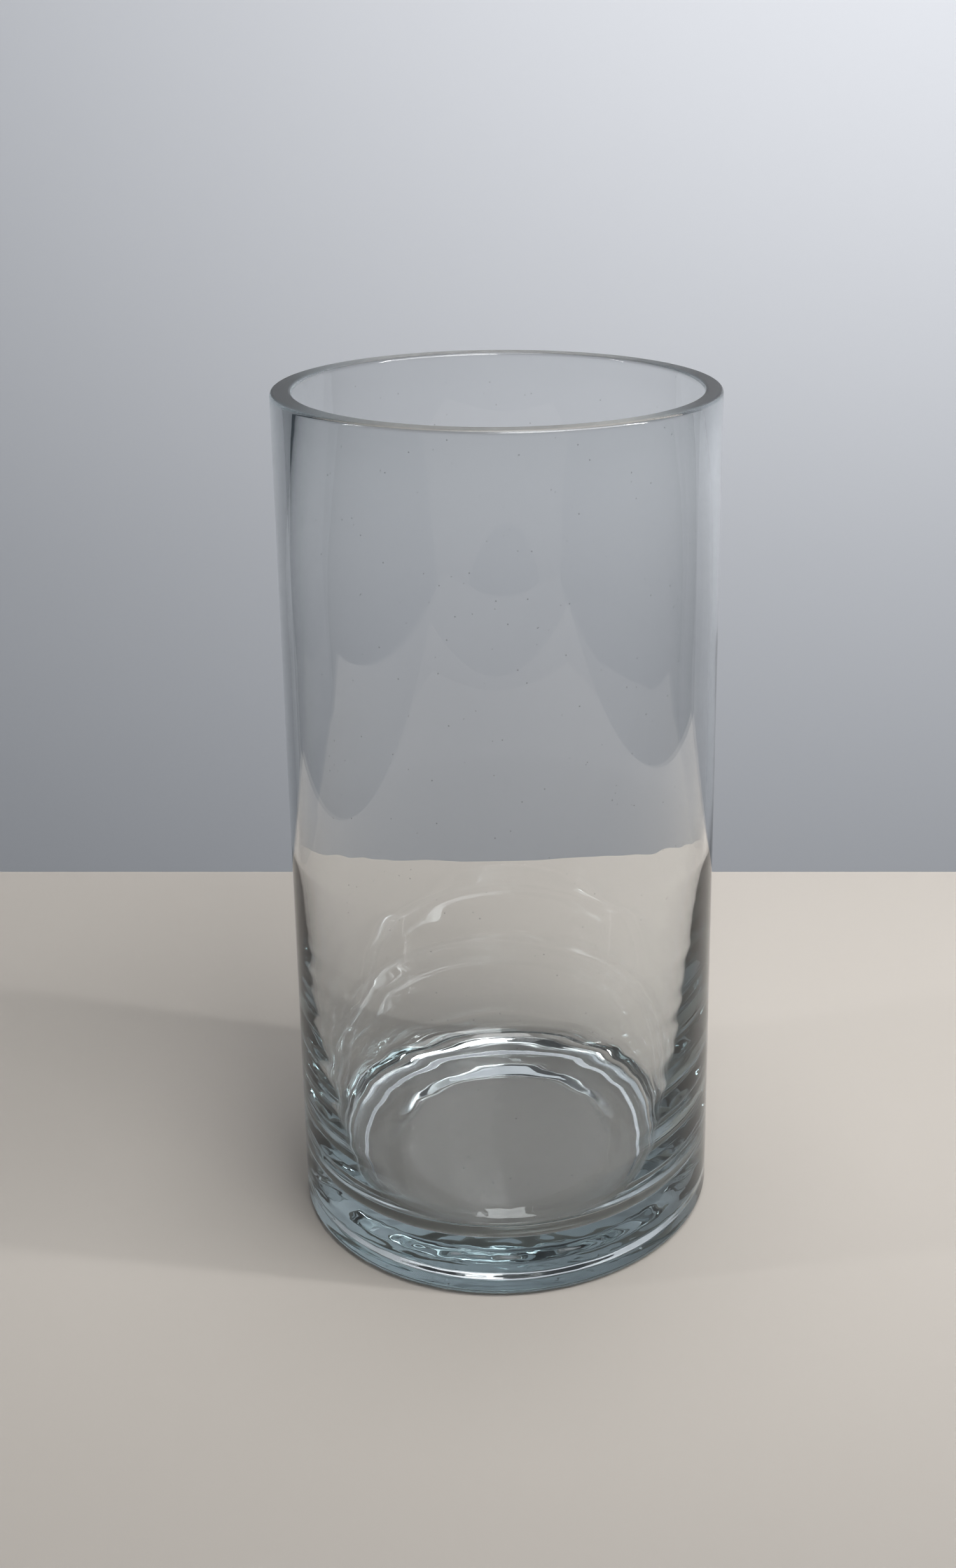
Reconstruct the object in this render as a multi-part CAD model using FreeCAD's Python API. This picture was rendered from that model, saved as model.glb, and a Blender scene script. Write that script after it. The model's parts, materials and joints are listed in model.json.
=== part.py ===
import FreeCAD, Part
import math
import os

# Glass cylinder vase: one piece of clear soda-lime glass, blown into a straight mould,
# with its mouth cut, ground flat and polished. Millimetres, +Z up. The origin is the
# centre of the foot, on the surface that the vase stands on.

# ---- driving dimensions -------------------------------------------------------------

height = 250.0             # foot to rim
outer_diameter = 125.0     # the same from the heel to the mouth

rim_wall = 5.7             # glass at the mouth
neck_depth = 6.0           # straight stretch of the bore under the rim
taper_length = 64.0        # below the neck, over which the wall thins to the waist
taper_lead = 12.0          # how long the wall stays thick as that taper begins
taper_runout = 32.0        # how softly the taper runs out into the waist

waist_wall = 2.4           # glass where the wall is thinnest, half way up
cove_height = 104.0        # inner floor to the waist, over which the wall thickens
cove_lead = 6.0            # how long the wall stays thin as the cove begins
cove_runout = 12.0         # how softly the cove runs into the round at the floor
cove_width = 19.5          # from the outside of the vase to the flat inner floor
floor_round = 10.0         # radius between the inner floor and the cove
floor_turn = 69.0          # how far that round turns up from the floor, degrees
base_thickness = 12.2      # inner floor above the standing surface

rim_round = 1.2            # polished edges of the mouth, outside and inside
heel_round = 2.2           # outer edge of the foot
foot_ring = 12.0           # from the outside of the vase to the inner edge of the foot
step_width = 4.0           # the steep step up inside the foot
step_rise = 1.2
shelf_width = 5.5          # flat ring between the step and the dish
dish_width = 9.5           # the soft slope from the shelf to the hollow's flat middle
dish_rise = 1.5

# ---- sizes that follow --------------------------------------------------------------

outer_radius = outer_diameter / 2
mouth_radius = outer_radius - rim_wall
waist_radius = outer_radius - waist_wall
floor_radius = outer_radius - cove_width
foot_radius = outer_radius - foot_ring
shelf_radius = foot_radius - step_width
dish_radius = shelf_radius - shelf_width
middle_radius = dish_radius - dish_width

hollow_z = step_rise + dish_rise
rim_edge_z = height - rim_round
neck_z = height - neck_depth
waist_top = neck_z - taper_length
waist_bottom = base_thickness + cove_height


def at(radius, z):
    """A point of the outline, which lies in the XZ plane."""
    return FreeCAD.Vector(radius, 0, z)


def part_round(centre_r, centre_z, radius, start_deg, turn_deg=90.0):
    """A part of a circle in the outline, turning from start_deg by turn_deg."""
    points = []
    for share in (0, 0.5, 1):
        angle = math.radians(start_deg + turn_deg * share)
        points.append(at(centre_r + radius * math.cos(angle), centre_z + radius * math.sin(angle)))
    return Part.Arc(*points).toShape()


def smooth_run(*poles):
    """A Bezier edge, which leaves and arrives along its first and last pair of poles."""
    curve = Part.BezierCurve()
    curve.setPoles(list(poles))
    return curve.toShape()


def slope(inner_r, inner_z, outer_r, outer_z):
    """A soft step in the outline, level at both of its ends."""
    third = (outer_r - inner_r) / 3
    return smooth_run(
        at(inner_r, inner_z),
        at(inner_r + third, inner_z),
        at(outer_r - third, outer_z),
        at(outer_r, outer_z),
    )


# ---- the outline, from the axis under the foot, round the glass, back to the axis ---

def hollow():
    """The hollow under the foot: flat middle, dish, shelf and the step up from the foot."""
    return [
        Part.makeLine(at(0, hollow_z), at(middle_radius, hollow_z)),
        slope(middle_radius, hollow_z, dish_radius, step_rise),
        Part.makeLine(at(dish_radius, step_rise), at(shelf_radius, step_rise)),
        slope(shelf_radius, step_rise, foot_radius, 0),
    ]


def outside():
    """Foot ring, heel, straight side and the outer edge of the mouth."""
    heel_r = outer_radius - heel_round
    return [
        Part.makeLine(at(foot_radius, 0), at(heel_r, 0)),
        part_round(heel_r, heel_round, heel_round, -90),
        Part.makeLine(at(outer_radius, heel_round), at(outer_radius, rim_edge_z)),
        part_round(outer_radius - rim_round, rim_edge_z, rim_round, 0),
    ]


def mouth():
    """The ground rim, its inner edge and the straight neck of the bore."""
    return [
        Part.makeLine(at(outer_radius - rim_round, height), at(mouth_radius + rim_round, height)),
        part_round(mouth_radius + rim_round, rim_edge_z, rim_round, 90),
        Part.makeLine(at(mouth_radius, rim_edge_z), at(mouth_radius, neck_z)),
    ]


def inside():
    """The bore widens to the thin waist, coves in, and rounds on to the flat inner floor."""
    taper = smooth_run(
        at(mouth_radius, neck_z),
        at(mouth_radius, neck_z - taper_lead),
        at(waist_radius, waist_top + taper_runout),
        at(waist_radius, waist_top),
    )
    waist = Part.makeLine(at(waist_radius, waist_top), at(waist_radius, waist_bottom))
    turn = math.radians(floor_turn)
    round_r = floor_radius + floor_round * math.sin(turn)
    round_z = base_thickness + floor_round * (1 - math.cos(turn))
    cove = smooth_run(
        at(waist_radius, waist_bottom),
        at(waist_radius, waist_bottom - cove_lead),
        at(round_r + cove_runout * math.cos(turn), round_z + cove_runout * math.sin(turn)),
        at(round_r, round_z),
    )
    centre_z = base_thickness + floor_round
    corner = part_round(floor_radius, centre_z, floor_round, floor_turn - 90, -floor_turn)
    floor = Part.makeLine(at(floor_radius, base_thickness), at(0, base_thickness))
    return [taper, waist, cove, corner, floor]


def vase():
    """The whole piece of glass: the outline turned once round the axis."""
    axis = Part.makeLine(at(0, base_thickness), at(0, hollow_z))
    outline = Part.Wire(hollow() + outside() + mouth() + inside() + [axis])
    turned = Part.Face(outline).revolve(FreeCAD.Vector(0, 0, 0), FreeCAD.Vector(0, 0, 1), 360)
    return turned.Solids[0]


# ---- one file for each piece --------------------------------------------------------

os.makedirs("parts", exist_ok=True)

pieces = {"vase": vase()}

for node, solid in pieces.items():
    solid.exportStep(os.path.join("parts", node + ".step"))
    print(node, "valid:", solid.isValid(), "glass, ml:", round(solid.Volume / 1000, 1))
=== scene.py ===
# %% [markdown]
# Lesson: a clear glass cylinder vase
#
# The vase is one piece of soda-lime glass. A gather is blown into a straight mould, the top is
# cracked off, and the mouth is ground flat and polished. It has no other parts, so the whole
# lesson is about one skin: where the glass is thick, where it is thin, and where it is uneven.
# Clear glass has no look of its own. It bends and mirrors what stands round it, so a wall with
# the right thickness draws the dark side bands, the pale rings in the base and the grey rim
# without any of them being painted.

# %% Load the fixed frame
import json
import math
import random

import bmesh
import bpy
from mathutils import Matrix, Vector, noise
from mathutils.geometry import interpolate_bezier


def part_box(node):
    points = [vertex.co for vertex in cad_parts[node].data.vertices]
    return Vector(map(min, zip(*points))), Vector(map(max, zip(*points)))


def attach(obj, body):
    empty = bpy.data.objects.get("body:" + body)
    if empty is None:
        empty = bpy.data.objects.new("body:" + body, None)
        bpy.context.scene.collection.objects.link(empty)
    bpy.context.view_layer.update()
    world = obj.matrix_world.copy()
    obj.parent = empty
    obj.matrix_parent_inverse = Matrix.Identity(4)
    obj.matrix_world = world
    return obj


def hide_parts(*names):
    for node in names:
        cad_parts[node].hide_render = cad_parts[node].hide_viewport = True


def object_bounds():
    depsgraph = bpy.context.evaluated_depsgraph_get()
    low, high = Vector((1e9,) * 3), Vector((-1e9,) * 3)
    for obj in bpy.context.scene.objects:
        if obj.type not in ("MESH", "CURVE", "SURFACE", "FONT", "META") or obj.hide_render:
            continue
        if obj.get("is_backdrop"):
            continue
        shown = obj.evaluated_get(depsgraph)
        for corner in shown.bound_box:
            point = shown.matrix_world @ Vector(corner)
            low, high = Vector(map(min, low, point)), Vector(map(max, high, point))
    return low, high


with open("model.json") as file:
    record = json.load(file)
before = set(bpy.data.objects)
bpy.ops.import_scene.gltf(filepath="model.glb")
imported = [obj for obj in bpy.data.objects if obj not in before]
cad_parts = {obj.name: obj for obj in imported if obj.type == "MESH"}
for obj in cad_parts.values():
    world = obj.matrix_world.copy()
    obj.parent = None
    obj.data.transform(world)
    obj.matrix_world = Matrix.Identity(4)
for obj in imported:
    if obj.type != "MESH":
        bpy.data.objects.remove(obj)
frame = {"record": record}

cad_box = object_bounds()
foot_corner, rim_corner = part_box("vase")
print("CAD box of the vase, metres:", [round(v, 4) for v in (*foot_corner, *rim_corner)])

# %% [markdown]
# Sizes
#
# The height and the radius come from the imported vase, and the radius of the mouth from the
# mount that describes it. The thicknesses of glass are written out in millimetres, because the
# box doesn't hold them. A real vase is heaviest where the hot glass had most time to settle:
# in the base, at the round where the bore meets the floor, and a little under the rim.

# %% Sizes of the real thing
MM = 0.001

foot_z = foot_corner[2]
rim_z = rim_corner[2]
outer_r = (rim_corner[0] - foot_corner[0]) / 2
mounts = {mount["name"]: mount for mount in frame["record"]["mounts"]}
mouth_r = mounts["mouth"]["dims"]["r_mm"] * MM

neck_depth = 6.0 * MM
taper_length = 64.0 * MM
taper_lead = 12.0 * MM
taper_runout = 32.0 * MM
waist_wall = 2.4 * MM
cove_height = 104.0 * MM
cove_lead = 6.0 * MM
cove_runout = 12.0 * MM
cove_width = 19.5 * MM
floor_round = 10.0 * MM
floor_turn = math.radians(69.0)
base_thickness = 12.2 * MM
rim_round = 1.2 * MM
heel_round = 2.2 * MM
foot_ring = 12.0 * MM
step_width = 4.0 * MM
step_rise = 1.2 * MM
shelf_width = 5.5 * MM
dish_width = 9.5 * MM
dish_rise = 1.5 * MM
print("radius outside", round(outer_r / MM, 1), "mm, at the mouth", round(mouth_r / MM, 1), "mm")

# %% [markdown]
# Helpers for materials
#
# Colours are kept as the sRGB hex that a colour card gives, and turned into linear light in one
# place. One small function adds any node, sets it and links it.

# %% Colours and nodes
def linear(hex_colour):
    """An sRGB hex colour as linear red, green, blue and alpha."""
    channels = [int(hex_colour[i:i + 2], 16) / 255 for i in (1, 3, 5)]
    return [c / 12.92 if c <= 0.04045 else ((c + 0.055) / 1.055) ** 2.4 for c in channels] + [1.0]


def add_node(tree, kind, settings=None, links=None):
    """Adds a node, sets its properties or inputs, and links its inputs to other sockets."""
    node = tree.nodes.new(kind)
    for name, value in (settings or {}).items():
        if isinstance(name, str) and hasattr(node, name):
            setattr(node, name, value)
        else:
            node.inputs[name].default_value = value
    for name, socket in (links or {}).items():
        tree.links.new(socket, node.inputs[name])
    return node


def new_material(name):
    """A material with an empty node tree."""
    material = bpy.data.materials.new(name)
    material.use_nodes = True
    material.node_tree.nodes.clear()
    return material


# %% [markdown]
# Camera
#
# It looks down at the vase from a little above the rim, close enough that the rim is seen as a
# wide ellipse and the foot as a rounder one. Its place is written in vase radii, so it keeps its
# view if the vase is made in another size. The lens is shifted instead of tilted further, which
# keeps the sides of the vase nearly upright.

# %% The camera
camera_distance = 7.906 * outer_r
camera_height = 5.420 * outer_r
camera_pitch = math.radians(17.012)
camera_turn = math.radians(2.389)

camera_data = bpy.data.cameras.new("studio_camera")
camera_data.lens = 41.33
camera_data.sensor_width = 36.0
camera_data.shift_x = -0.0599
camera_data.shift_y = -0.1169
camera_data.clip_start = 0.01
camera = bpy.data.objects.new("studio_camera", camera_data)
camera.location = (0, -camera_distance, camera_height)
camera.rotation_euler = (math.radians(90) - camera_pitch, 0, -camera_turn)
bpy.context.scene.collection.objects.link(camera)
bpy.context.scene.camera = camera
print("camera", round(camera_distance, 3), "m away and", round(camera_height, 3), "m up")

# %% [markdown]
# Floor and backdrop
#
# Clear glass shows what is behind it, so it needs something to bend: a pale table top whose far
# edge runs square across the view, and a pale wall some way behind that. Both are boxes turned to
# face the camera. The far edge, seen once beside the vase and once through it, is the best test
# of the wall of glass: the bore makes it rise and bow. The table is honed stone and the wall has
# matt paint. Both scatter light evenly, so every bright line in the picture is the glass's own.

# %% A slab and its material
def plain_material(name, colour, roughness):
    """One colour with a soft sheen, so that nothing on the stage draws the eye."""
    material = new_material(name)
    tree = material.node_tree
    shader = add_node(tree, "ShaderNodeBsdfPrincipled",
                      {"Base Color": linear(colour), "Roughness": roughness})
    add_node(tree, "ShaderNodeOutputMaterial", links={"Surface": shader.outputs[0]})
    return material


def stage_slab(name, low, high, material):
    """A box between two corners, in metres to the right of, ahead of and above the camera's foot."""
    low, high = Vector(low), Vector(high)
    mesh = bpy.data.meshes.new(name)
    bm = bmesh.new()
    bmesh.ops.create_cube(bm, size=1.0)
    bmesh.ops.scale(bm, vec=high - low, verts=bm.verts)
    bmesh.ops.translate(bm, vec=(high + low) / 2, verts=bm.verts)
    facing = Matrix.Rotation(-camera_turn, 3, "Z")
    bmesh.ops.rotate(bm, cent=(0, 0, 0), matrix=facing, verts=bm.verts)
    bmesh.ops.translate(bm, vec=(0, -camera_distance, 0), verts=bm.verts)
    bm.to_mesh(mesh)
    bm.free()
    slab = bpy.data.objects.new(name, mesh)
    bpy.context.scene.collection.objects.link(slab)
    slab.data.materials.append(material)
    slab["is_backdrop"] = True
    print(name, "size, metres:", [round(v, 3) for v in high - low])


# %% Table top and wall
table_edge = 0.708
wall_distance = 1.20
under_the_foot = 0.2 * MM

stage_slab("studio_floor", (-0.38, -0.1, -0.03), (0.40, table_edge, -under_the_foot),
           plain_material("studio_floor_pale_stone", "#b9b3ac", roughness=0.85))
stage_slab("studio_wall", (-0.88, wall_distance, -1.1), (1.14, wall_distance + 0.02, 1.0),
           plain_material("studio_wall_matt_paint", "#d3d5da", roughness=0.95))

# %% [markdown]
# Light
#
# The room is dim and cool, so that glass which mirrors the room goes dark. A soft light high
# overhead shines down the mouth and lights the base from inside. A weaker one lights the table in
# front, and a third one washes the wall, brightest at the upper right. The two tall narrow ones
# far out at the sides stand for windows, and the thick glass draws them as bright lines.

# %% The dim room
world = bpy.data.worlds.new("studio")
bpy.context.scene.world = world
world.use_nodes = True
background = world.node_tree.nodes["Background"]
background.inputs["Color"].default_value = linear("#353b40")
background.inputs["Strength"].default_value = 1.0


# %% Lights
def softbox(name, place, aim, width, height, watts):
    """A rectangular light at place that faces aim."""
    data = bpy.data.lights.new(name, "AREA")
    data.shape = "RECTANGLE"
    data.size = width
    data.size_y = height
    data.energy = watts
    light = bpy.data.objects.new(name, data)
    light.location = place
    light.rotation_euler = (Vector(aim) - Vector(place)).to_track_quat("-Z", "Y").to_euler()
    bpy.context.scene.collection.objects.link(light)
    print(name, "at", place, "with", watts, "W")


base_middle = (0, 0, 0.08)
softbox("overhead", (0.0, 0.0, 1.45), (0.0, 0.0, 0.0), width=0.5, height=0.5, watts=5.2)
softbox("front_fill", (0.20, -0.50, 0.8), (0.15, -0.45, 0.0), width=0.4, height=0.4, watts=2)
softbox("wall_wash", (0.38, -0.19, 0.72), (0.28, 0.706, 0.67), width=0.76, height=0.63, watts=7.6)
softbox("left_window", (-1.30, -0.23, 0.88), base_middle, width=0.05, height=0.7, watts=2)
softbox("right_window", (1.25, -0.31, 0.88), base_middle, width=0.06, height=0.7, watts=4.5)

# %% [markdown]
# The outline of the glass
#
# Half of the vase's section is drawn as one chain of points, from the centre of the foot, round
# the outside, over the rim, down the bore and back to the centre of the inner floor. A cylinder
# with a Solidify modifier would be quicker, but it gives a wall of one thickness, and the look
# of this glass comes from a wall that isn't. Each helper makes one run and leaves out its last
# point, because the next run starts there.

# %% Points along straight, round and soft runs
def at(r, z):
    """A point of the outline, r from the axis and z above the frame's origin."""
    return Vector((r, 0.0, z))


def straight(start, end, step):
    """Points about a step apart."""
    count = max(1, round((end - start).length / step))
    return [start.lerp(end, i / count) for i in range(count)]


def part_round(centre, radius, start, turn, count=8):
    """Points on a circle, turning from the angle start by turn."""
    angles = [start + turn * i / count for i in range(count)]
    return [centre + at(radius * math.cos(a), radius * math.sin(a)) for a in angles]


def smooth_run(p0, p1, p2, p3, count):
    """Points on a Bezier curve that leaves p0 towards p1 and arrives at p3 from p2."""
    return [Vector(p) for p in interpolate_bezier(p0, p1, p2, p3, count + 1)][:-1]


def slope(inner, outer, count):
    """A soft step, level at both of its ends."""
    third = (outer.x - inner.x) / 3
    return smooth_run(inner, at(inner.x + third, inner.z), at(outer.x - third, outer.z), outer, count)


# %% [markdown]
# Underside
#
# The vase stands on a flat ring. Inside the ring the mould leaves a steep little step, a shelf
# and a shallow dish. Seen from above through the floor, the step and the dish turn the light and
# make the bright rings in the base. The slopes get the most points, because that is where the
# light turns fastest.

# %% Foot and hollow
foot_r = outer_r - foot_ring
shelf_r = foot_r - step_width
dish_r = shelf_r - shelf_width
middle_r = dish_r - dish_width
shelf_z = foot_z + step_rise
hollow_z = foot_z + step_rise + dish_rise

underside = straight(at(0, hollow_z), at(middle_r, hollow_z), step=2.0 * MM)
underside += slope(at(middle_r, hollow_z), at(dish_r, shelf_z), count=20)
underside += straight(at(dish_r, shelf_z), at(shelf_r, shelf_z), step=1.0 * MM)
underside += slope(at(shelf_r, shelf_z), at(foot_r, foot_z), count=16)
print("points under the foot:", len(underside), " hollow, mm:", round((hollow_z - foot_z) / MM, 1))

# %% [markdown]
# Outside and rim
#
# The side is straight, because it took its shape from the mould. The heel keeps a small round.
# The rim is ground flat, and its two sharp edges are taken off. The side could be one long face,
# but it gets wrinkles later, so it is cut fine at the base and coarser higher up.

# %% Side and rim
heel_r = outer_r - heel_round
heel_z = foot_z + heel_round
wrinkle_z = foot_z + 17 * MM
waist_bottom = base_thickness + cove_height
edge_z = rim_z - rim_round
quarter = math.pi / 2

outside = straight(at(foot_r, foot_z), at(heel_r, foot_z), step=1.2 * MM)
outside += part_round(at(heel_r, heel_z), heel_round, -quarter, quarter)
outside += straight(at(outer_r, heel_z), at(outer_r, wrinkle_z), step=0.55 * MM)
outside += straight(at(outer_r, wrinkle_z), at(outer_r, waist_bottom), step=1.3 * MM)
outside += straight(at(outer_r, waist_bottom), at(outer_r, edge_z), step=2.5 * MM)
outside += part_round(at(outer_r - rim_round, edge_z), rim_round, 0, quarter)
outside += straight(at(outer_r - rim_round, rim_z), at(mouth_r + rim_round, rim_z), step=0.5 * MM)
outside += part_round(at(mouth_r + rim_round, edge_z), rim_round, quarter, quarter)
print("points outside and on the rim:", len(outside),
      " glass at the rim, mm:", round((outer_r - mouth_r) / MM, 1))

# %% [markdown]
# Bore
#
# The wall is thick at the rim, thins to a waist half way up, and thickens again towards the base,
# where a round of 10 mm carries it on to the floor. That lower wedge of glass is what makes the
# dark bands at the sides grow wider towards the foot. Two Bezier curves join these stretches,
# because a blown wall has no corners.

# %% Bore and inner floor
neck_z = rim_z - neck_depth
waist_r = outer_r - waist_wall
waist_top = neck_z - taper_length
floor_r = outer_r - cove_width
round_end = at(floor_r + floor_round * math.sin(floor_turn),
               base_thickness + floor_round * (1 - math.cos(floor_turn)))
round_lead = round_end + at(cove_runout * math.cos(floor_turn), cove_runout * math.sin(floor_turn))

bore = straight(at(mouth_r, edge_z), at(mouth_r, neck_z), step=1.0 * MM)
bore += smooth_run(at(mouth_r, neck_z), at(mouth_r, neck_z - taper_lead),
                   at(waist_r, waist_top + taper_runout), at(waist_r, waist_top), count=28)
bore += straight(at(waist_r, waist_top), at(waist_r, waist_bottom), step=2.5 * MM)
bore += smooth_run(at(waist_r, waist_bottom), at(waist_r, waist_bottom - cove_lead),
                   round_lead, round_end, count=90)
bore += part_round(at(floor_r, base_thickness + floor_round), floor_round,
                   floor_turn - quarter, -floor_turn, count=24)
bore += straight(at(floor_r, base_thickness), at(0, base_thickness), step=1.6 * MM)
bore.append(at(0, base_thickness))
print("points in the bore:", len(bore), " base, mm:", round((base_thickness - foot_z) / MM, 1))

# %% [markdown]
# Turning the outline
#
# One turn round the axis makes the whole skin. The turn is closed with `use_merge`, and the
# points that meet on the axis are merged, so the skin is watertight. That matters more in glass
# than elsewhere: a ray that comes in through a gap never learns that it is inside.

# %% The turned glass
steps_round = 200
same_place = 1e-6

bm = bmesh.new()
chain = [bm.verts.new(point) for point in underside + outside + bore]
edges = [bm.edges.new(pair) for pair in zip(chain, chain[1:])]
bmesh.ops.spin(bm, geom=chain + edges, cent=(0, 0, 0), axis=(0, 0, 1), dvec=(0, 0, 0),
               angle=math.tau, steps=steps_round, use_merge=True, use_duplicate=False)
bmesh.ops.remove_doubles(bm, verts=bm.verts, dist=same_place)
bmesh.ops.recalc_face_normals(bm, faces=bm.faces)
print("faces:", len(bm.faces), " open edges:", sum(1 for edge in bm.edges if not edge.is_manifold))

# %% [markdown]
# Unevenness
#
# Blown glass is never quite true. The points of the skin itself are moved, because light is bent
# by the true slope of both skins, and a bump on the surface would leave the path inside the glass
# as it was. The helpers fade a move in or out along the vase, and give a noise whose grain has one
# size round the vase and another along it.

# %% Fading and grain
def fade(value, start, end):
    """0 before start, 1 after end, and smooth between."""
    t = min(max((value - start) / (end - start), 0.0), 1.0)
    return t * t * (3 - 2 * t)


def grain(co, across, up, shift):
    """Noise from -1 to 1, across mm wide round the vase and up mm high; shift picks the pattern."""
    return noise.noise(Vector((co.x / (across * MM), co.y / (across * MM), co.z / (up * MM) + shift)))


rings_fade = (60 * MM, 120 * MM)


def low_share(co):
    """1 in the lower quarter of the vase, and 0 from about half way up."""
    return 1 - fade(co.z, *rings_fade)


# %% [markdown]
# Rings in the bore
#
# Slow rings run round the bore, from the gather being turned while it cooled. They are a few
# hundredths of a millimetre deep, strongest low down, and gone on the inner floor. A broad swell
# lies under them.

# %% Push of the bore
ring_depth = 0.055 * MM
fine_ring_depth = 0.014 * MM
swell_depth = 0.04 * MM
share_left_high = 0.03
floor_fade = (base_thickness + 1 * MM, base_thickness + 12 * MM)


def bore_push(co):
    """How far a point of the bore moves away from the axis."""
    rings = grain(co, across=110, up=5, shift=7.3) * ring_depth
    rings += grain(co, across=70, up=2.6, shift=51.9) * fine_ring_depth
    swell = grain(co, across=60, up=60, shift=23.1) * swell_depth
    share = share_left_high + (1 - share_left_high) * low_share(co)
    return rings * share * fade(co.z, *floor_fade) + swell


# %% [markdown]
# Wrinkles outside and under the foot
#
# The lowest outside touched the cold mould first, and the hollow under the foot was pressed, so
# both are finely wrinkled. On the whole the side is set in by a hair, because the mould holds it
# and the vase has to keep its size. Seen from the front, the wrinkles break up what the base
# mirrors.

# %% Push of the outside and lift of the hollow
side_depth = 0.03 * MM
side_set_in = 0.015 * MM
share_left_outside = 0.1
wrinkle_depth = 0.045 * MM
wrinkle_set_in = 0.5
wrinkle_fade = (12 * MM, 20 * MM)
coarse_lift = 0.06 * MM
fine_lift = 0.05 * MM


def outside_push(co):
    """How far a point of the side moves away from the axis."""
    slow = grain(co, across=80, up=8, shift=57.3) * side_depth - side_set_in
    wrinkle = (grain(co, across=14, up=2.0, shift=15.7) - wrinkle_set_in) * wrinkle_depth
    at_the_base = 1 - fade(co.z, *wrinkle_fade)
    return slow * (share_left_outside + low_share(co)) + wrinkle * at_the_base


def hollow_lift(co):
    """How far a point of the hollow moves up."""
    coarse = grain(co, across=7, up=50, shift=33.9) * coarse_lift
    return coarse + grain(co, across=3, up=50, shift=71.2) * fine_lift


# %% [markdown]
# Moving the points
#
# The bore isn't quite in the middle of the vase either. Low down it is 0.9 mm off centre, and at
# the mouth 0.45 mm the other way, so one side band is wider than the other. The foot ring stays
# flat and the ground rim level, and only the rim's inner edge follows the bore. The points on the
# axis, where the turned skin closes, stay too.

# %% Uneven glass
low_shift = -0.9 * MM
low_shift_fade = (20 * MM, 130 * MM)
mouth_shift = 0.45 * MM
mouth_shift_fade = (150 * MM, 240 * MM)
wall_fade = (1.5 * MM, 4.5 * MM)
off_the_rim = 1.5 * MM
hair = 0.05 * MM
moved = {"bore": 0, "side": 0, "hollow": 0}

for vert in bm.verts:
    co = vert.co.copy()
    r = math.hypot(co.x, co.y)
    if r < same_place:
        continue
    out = Vector((co.x, co.y, 0)) / r
    if base_thickness - hair < co.z < rim_z - off_the_rim and r < outer_r - off_the_rim:
        vert.co += out * bore_push(co)
        vert.co.x += low_shift * (1 - fade(co.z, *low_shift_fade))
        moved["bore"] += 1
    elif foot_z + 3 * MM < co.z < rim_z - 2 * MM and r > outer_r - hair:
        vert.co += out * outside_push(co)
        moved["side"] += 1
    elif co.z < 5 * MM and r < foot_r - 0.5 * MM:
        vert.co.z += hollow_lift(co)
        moved["hollow"] += 1
    in_the_wall = fade(outer_r - r, *wall_fade)
    vert.co.x += mouth_shift * fade(co.z, *mouth_shift_fade) * in_the_wall
print("points moved:", moved)

# %% [markdown]
# Seed bubbles
#
# Gas that didn't leave the melt stays in the heavy base as seeds, a few tenths of a millimetre
# across. Each is a tiny closed skin that faces the other way, because it has air on its inside.
# A fixed seed for the random numbers puts them in the same places every time.

# %% Seeds in the base
seed_count = 22
seed_radii_mm = (0.10, 0.32)
seed_heights_mm = (4.2, 10.5)
seed_reach = foot_r + 6 * MM
picker = random.Random(41)

for _ in range(seed_count):
    radius = picker.uniform(*seed_radii_mm) * MM
    away = math.sqrt(picker.random()) * seed_reach
    turn = picker.uniform(0, math.tau)
    height = picker.uniform(*seed_heights_mm) * MM
    place = Matrix.Translation((away * math.cos(turn), away * math.sin(turn), height))
    seed = bmesh.ops.create_icosphere(bm, subdivisions=2, radius=radius, matrix=place)
    faces = {face for vert in seed["verts"] for face in vert.link_faces}
    bmesh.ops.reverse_faces(bm, faces=list(faces))
print("faces with the seeds:", len(bm.faces), " triangles:", sum(len(face.verts) - 2 for face in bm.faces))

# %% [markdown]
# The finished piece
#
# The bmesh becomes an object that sits at the origin, unturned. Its faces are shaded smooth, so
# that 200 flats round the vase read as one round.

# %% Glass vase
glass_mesh = bpy.data.meshes.new("glass_vase")
bm.to_mesh(glass_mesh)
bm.free()
for polygon in glass_mesh.polygons:
    polygon.use_smooth = True
glass_vase = bpy.data.objects.new("glass_vase", glass_mesh)
bpy.context.scene.collection.objects.link(glass_vase)

# %% [markdown]
# Glass
#
# Soda-lime glass bends light by 1.52. Its iron swallows a little more red than blue, and that is
# done by absorption inside the glass instead of a tint on its skin. So a long path through the
# base looks slate grey while the thin wall looks clear. The ground rim is satin, patches of dried
# water dull the skin by a trace, and a few specks of dust sit on it. All three are made from the
# place on the vase in metres, so each has a real size.

# %% Satin rim, dried water and dust
satin_start = rim_z - 0.6 * MM
satin_full = rim_z - 0.1 * MM
rim_satin = 0.45
water_patch = 28 * MM
water_dullness = 0.03
dust_spacing = 5 * MM
dust_grey = 0.55

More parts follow.
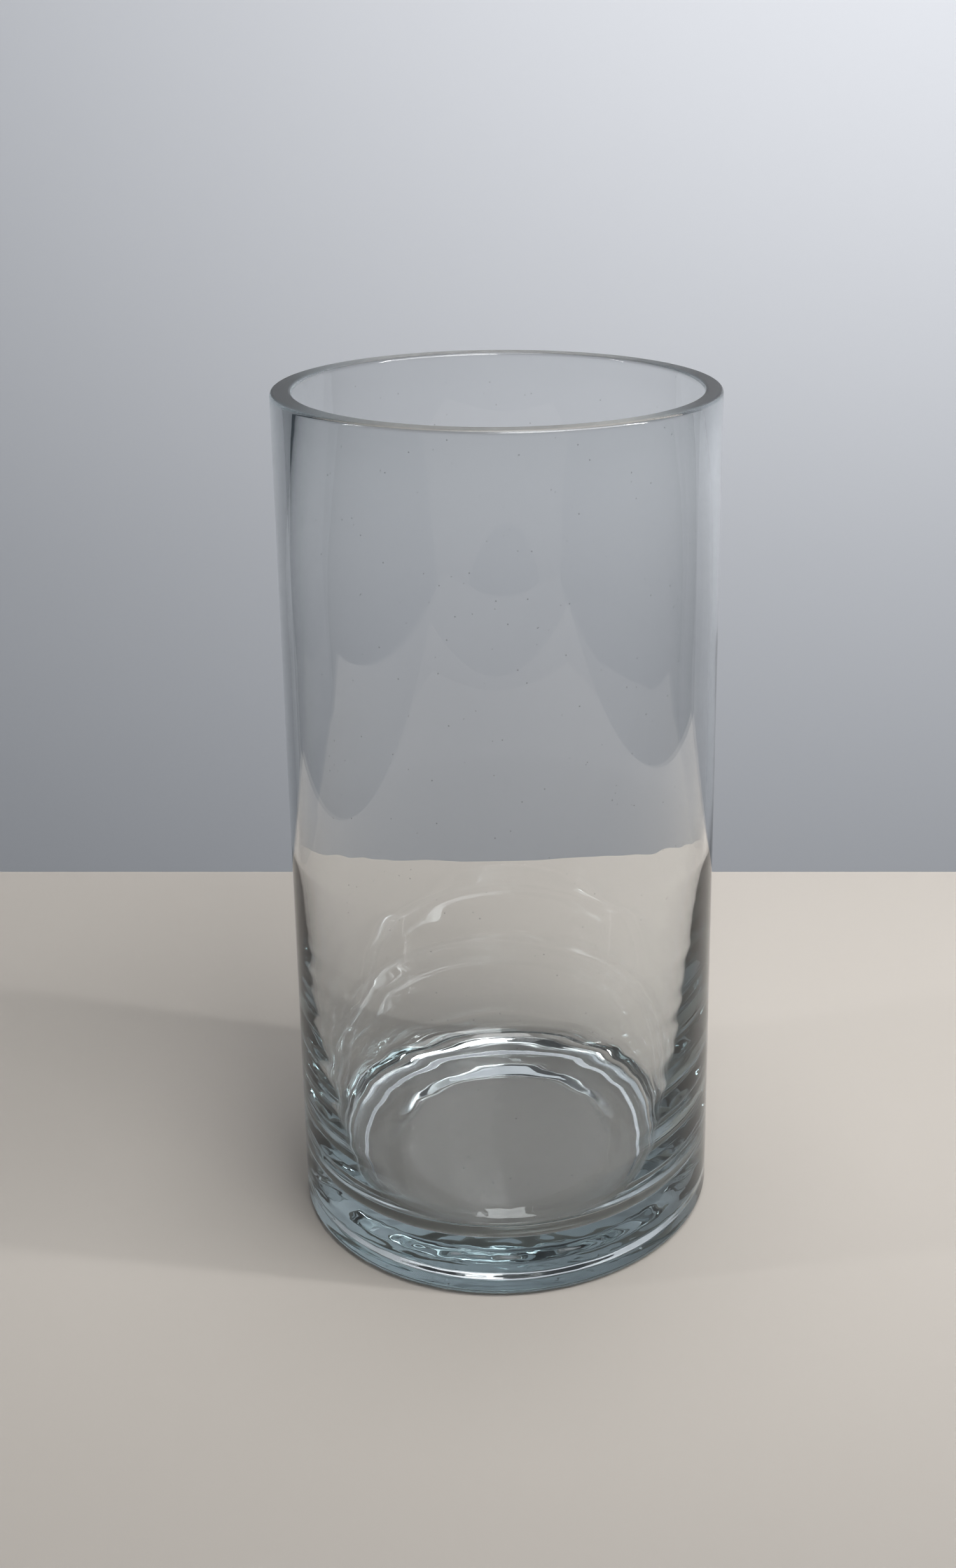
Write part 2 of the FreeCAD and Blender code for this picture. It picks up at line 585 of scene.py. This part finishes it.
glass = new_material("blown_clear_soda_lime_glass")
tree = glass.node_tree
position = add_node(tree, "ShaderNodeTexCoord").outputs["Object"]
upward = add_node(tree, "ShaderNodeSeparateXYZ", links={0: position}).outputs["Z"]
ground = add_node(tree, "ShaderNodeMapRange", {
    "From Min": satin_start, "From Max": satin_full,
    "To Min": 0.0, "To Max": rim_satin}, {"Value": upward})
film = add_node(tree, "ShaderNodeTexNoise", {"Scale": 1 / water_patch, "Detail": 4.0}, {"Vector": position})
marks = add_node(tree, "ShaderNodeMapRange", {
    "From Min": 0.50, "From Max": 0.72,
    "To Min": 0.0, "To Max": water_dullness}, {"Value": film.outputs["Fac"]})
dust = add_node(tree, "ShaderNodeTexVoronoi", {"Scale": 1 / dust_spacing}, {"Vector": position})
specks = add_node(tree, "ShaderNodeMapRange", {
    "From Min": 0.035, "From Max": 0.05,
    "To Min": dust_grey, "To Max": 1.0}, {"Value": dust.outputs["Distance"]})
print("satin above", round(satin_start / MM, 1), "mm, a speck every", round(dust_spacing / MM), "mm")

# %% [markdown]
# Skin and body of the glass
#
# The skin is a Principled shader that lets all light through, and the body is a Volume
# Absorption, whose density is per metre. It looks nearly colourless across a wall of 3 mm and
# clearly grey across the 12 cm of the base.

# %% The glass
bend = 1.52
iron_tint = linear("#b3c1c4")
absorption_per_metre = 20.0

dull = add_node(tree, "ShaderNodeMath", {"operation": "ADD"}, {0: ground.outputs[0], 1: marks.outputs[0]})
skin = add_node(tree, "ShaderNodeBsdfPrincipled", {"IOR": bend, "Transmission Weight": 1.0}, {
    "Base Color": specks.outputs[0], "Roughness": dull.outputs[0]})
body = add_node(tree, "ShaderNodeVolumeAbsorption", {"Color": iron_tint, "Density": absorption_per_metre})
add_node(tree, "ShaderNodeOutputMaterial", links={"Surface": skin.outputs[0], "Volume": body.outputs[0]})
glass_mesh.materials.append(glass)
for path in (3 * MM, 2 * outer_r):
    left = [math.exp(-(1 - channel) * absorption_per_metre * path) for channel in iron_tint[:3]]
    print("light left after", round(path / MM), "mm of glass:", [round(share, 2) for share in left])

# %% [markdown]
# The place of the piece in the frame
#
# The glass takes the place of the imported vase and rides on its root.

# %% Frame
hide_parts("vase")
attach(glass_vase, "root")

# %% [markdown]
# The picture
#
# Light on its way through a vase passes four skins, and in the base it's mirrored many times
# before it comes out. With few bounces those paths would end in black, so more are allowed. A
# plain view with some contrast keeps the whites of the highlights and the greys of the base.

# %% Bounces and view
bounces = 24
bpy.context.scene.view_settings.view_transform = "Standard"
bpy.context.scene.view_settings.look = "Medium High Contrast"
bpy.context.scene.cycles.max_bounces = bounces
bpy.context.scene.cycles.transmission_bounces = bounces
bpy.context.scene.cycles.glossy_bounces = bounces

# %% [markdown]
# Sizes at the end
#
# The turned and wrinkled glass should fill the same box as the solid it stands for. Both boxes
# are written down, so that they can be compared.

# %% Sizes
visual_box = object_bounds()
gaps = [round((v - c) / MM, 3) for ends in zip(cad_box, visual_box) for c, v in zip(*ends)]
print("visual box less CAD box, mm:", gaps)
